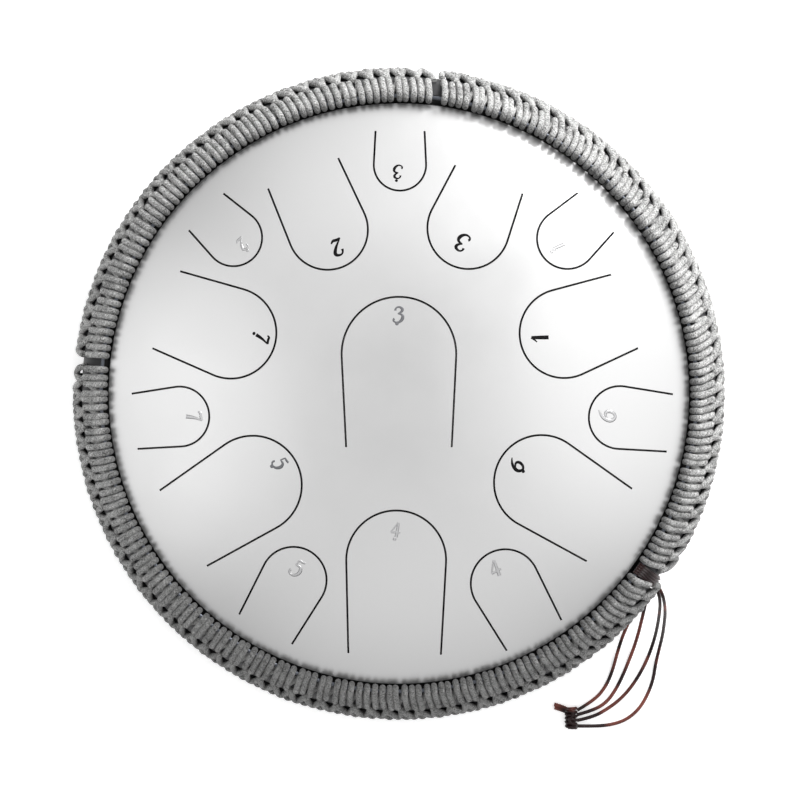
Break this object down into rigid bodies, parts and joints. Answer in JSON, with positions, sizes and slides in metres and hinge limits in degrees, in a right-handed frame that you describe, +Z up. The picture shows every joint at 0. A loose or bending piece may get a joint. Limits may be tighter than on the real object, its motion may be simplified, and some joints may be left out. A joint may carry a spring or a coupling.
{
  "type": "steel tongue drum",
  "caption": "Round steel tongue drum with a dished head of cut note tongues, a cord-bound rim, a sound hole in the base, rubber feet and a knotted lanyard.",
  "frame": {"origin": "centre of the drum on the plane that its four rubber feet rest on", "axes": "+Z up through the head, +Y away from the player towards the highest note, +X to the right"},
  "size_m": [0.3634, 0.3733, 0.104],
  "materials": {
    "satin_steel": "fine blasted satin, pale silver",
    "black_coated_steel": "matt black powder coat",
    "bright_wire": "bright drawn stainless wire",
    "cotton_cord": "grey three-strand twisted cotton",
    "black_rubber": "matt moulded rubber",
    "zinc_plated_steel": "bright zinc plate",
    "waxed_cord": "dark red-brown waxed cord, slight sheen"
  },
  "bodies": {
    "drum": {"head_shell": "satin_steel", "base_shell": "satin_steel", "rim_band": "black_coated_steel", "front_hoop": "bright_wire", "back_hoop": "bright_wire", "cord_binding_left_rear": "cotton_cord", "cord_binding_front": "cotton_cord", "cord_binding_right": "cotton_cord", "rubber_foot_rear_right": "black_rubber", "rubber_foot_rear_left": "black_rubber", "rubber_foot_front_left": "black_rubber", "rubber_foot_front_right": "black_rubber", "foot_screws": "zinc_plated_steel", "foot_washers": "zinc_plated_steel", "foot_nuts": "zinc_plated_steel", "lanyard_whipping": "waxed_cord", "lanyard_strand_a": "waxed_cord", "lanyard_strand_b": "waxed_cord", "lanyard_strand_c": "waxed_cord", "lanyard_strand_d": "waxed_cord", "lanyard_knot": "waxed_cord"},
    "tongue_low_3": {"tongue_low_3": "satin_steel"},
    "tongue_low_4": {"tongue_low_4": "satin_steel"},
    "tongue_low_5": {"tongue_low_5": "satin_steel"},
    "tongue_low_6": {"tongue_low_6": "satin_steel"},
    "tongue_low_7": {"tongue_low_7": "satin_steel"},
    "tongue_mid_1": {"tongue_mid_1": "satin_steel"},
    "tongue_mid_2": {"tongue_mid_2": "satin_steel"},
    "tongue_mid_3": {"tongue_mid_3": "satin_steel"},
    "tongue_mid_4": {"tongue_mid_4": "satin_steel"},
    "tongue_mid_5": {"tongue_mid_5": "satin_steel"},
    "tongue_mid_6": {"tongue_mid_6": "satin_steel"},
    "tongue_mid_7": {"tongue_mid_7": "satin_steel"},
    "tongue_high_1": {"tongue_high_1": "satin_steel"},
    "tongue_high_2": {"tongue_high_2": "satin_steel"},
    "tongue_high_3": {"tongue_high_3": "satin_steel"}
  },
  "joints": [
    {"name": "tongue_low_3_flex", "type": "hinge", "parent": "drum", "child": "tongue_low_3", "pos_m": [0, -0.0296, 0.10218], "axis": [1, 0, 0], "range_deg": [-0.6, 0.6], "stiffness_Nm_per_rad": 8},
    {"name": "tongue_low_4_flex", "type": "hinge", "parent": "drum", "child": "tongue_low_4", "pos_m": [-0.0024, -0.14458, 0.08075], "axis": [0.9999, -0.0166, 0], "range_deg": [-0.6, 0.6], "stiffness_Nm_per_rad": 8},
    {"name": "tongue_low_5_flex", "type": "hinge", "parent": "drum", "child": "tongue_low_5", "pos_m": [-0.11966, -0.07477, 0.08185], "axis": [0.5299, -0.848, 0], "range_deg": [-0.6, 0.6], "stiffness_Nm_per_rad": 8},
    {"name": "tongue_low_6_flex", "type": "hinge", "parent": "drum", "child": "tongue_low_6", "pos_m": [0.11678, -0.07297, 0.08288], "axis": [0.5299, 0.848, 0], "range_deg": [-0.6, 0.6], "stiffness_Nm_per_rad": 8},
    {"name": "tongue_low_7_flex", "type": "hinge", "parent": "drum", "child": "tongue_low_7", "pos_m": [-0.12909, 0.04648, 0.08303], "axis": [-0.3387, -0.9409, 0], "range_deg": [-0.6, 0.6], "stiffness_Nm_per_rad": 8},
    {"name": "tongue_mid_1_flex", "type": "hinge", "parent": "drum", "child": "tongue_mid_1", "pos_m": [0.12517, 0.04556, 0.08421], "axis": [-0.342, 0.9397, 0], "range_deg": [-0.6, 0.6], "stiffness_Nm_per_rad": 8},
    {"name": "tongue_mid_2_flex", "type": "hinge", "parent": "drum", "child": "tongue_mid_2", "pos_m": [-0.05311, 0.12215, 0.08421], "axis": [-0.9171, -0.3987, 0], "range_deg": [-0.6, 0.6], "stiffness_Nm_per_rad": 8},
    {"name": "tongue_mid_3_flex", "type": "hinge", "parent": "drum", "child": "tongue_mid_3", "pos_m": [0.04991, 0.11874, 0.08546], "axis": [-0.9219, 0.3875, 0], "range_deg": [-0.6, 0.6], "stiffness_Nm_per_rad": 8},
    {"name": "tongue_mid_4_flex", "type": "hinge", "parent": "drum", "child": "tongue_mid_4", "pos_m": [0.07513, -0.13443, 0.07767], "axis": [0.8729, 0.4879, 0], "range_deg": [-0.6, 0.6], "stiffness_Nm_per_rad": 8},
    {"name": "tongue_mid_5_flex", "type": "hinge", "parent": "drum", "child": "tongue_mid_5", "pos_m": [-0.07411, -0.13099, 0.07884], "axis": [0.8704, -0.4924, 0], "range_deg": [-0.6, 0.6], "stiffness_Nm_per_rad": 8},
    {"name": "tongue_mid_6_flex", "type": "hinge", "parent": "drum", "child": "tongue_mid_6", "pos_m": [0.15051, -0.01635, 0.07854], "axis": [0.108, 0.9942, 0], "range_deg": [-0.6, 0.6], "stiffness_Nm_per_rad": 8},
    {"name": "tongue_mid_7_flex", "type": "hinge", "parent": "drum", "child": "tongue_mid_7", "pos_m": [-0.14679, -0.01543, 0.07979], "axis": [0.1045, -0.9945, 0], "range_deg": [-0.6, 0.6], "stiffness_Nm_per_rad": 8},
    {"name": "tongue_high_1_flex", "type": "hinge", "parent": "drum", "child": "tongue_high_1", "pos_m": [0.10931, 0.10052, 0.0795], "axis": [-0.6769, 0.7361, 0], "range_deg": [-0.6, 0.6], "stiffness_Nm_per_rad": 8},
    {"name": "tongue_high_2_flex", "type": "hinge", "parent": "drum", "child": "tongue_high_2", "pos_m": [-0.10705, 0.10088, 0.07995], "axis": [-0.6858, -0.7278, 0], "range_deg": [-0.6, 0.6], "stiffness_Nm_per_rad": 8},
    {"name": "tongue_high_3_flex", "type": "hinge", "parent": "drum", "child": "tongue_high_3", "pos_m": [0.00064, 0.1458, 0.08037], "axis": [-1, 0.0044, 0], "range_deg": [-0.6, 0.6], "stiffness_Nm_per_rad": 8}
  ]
}
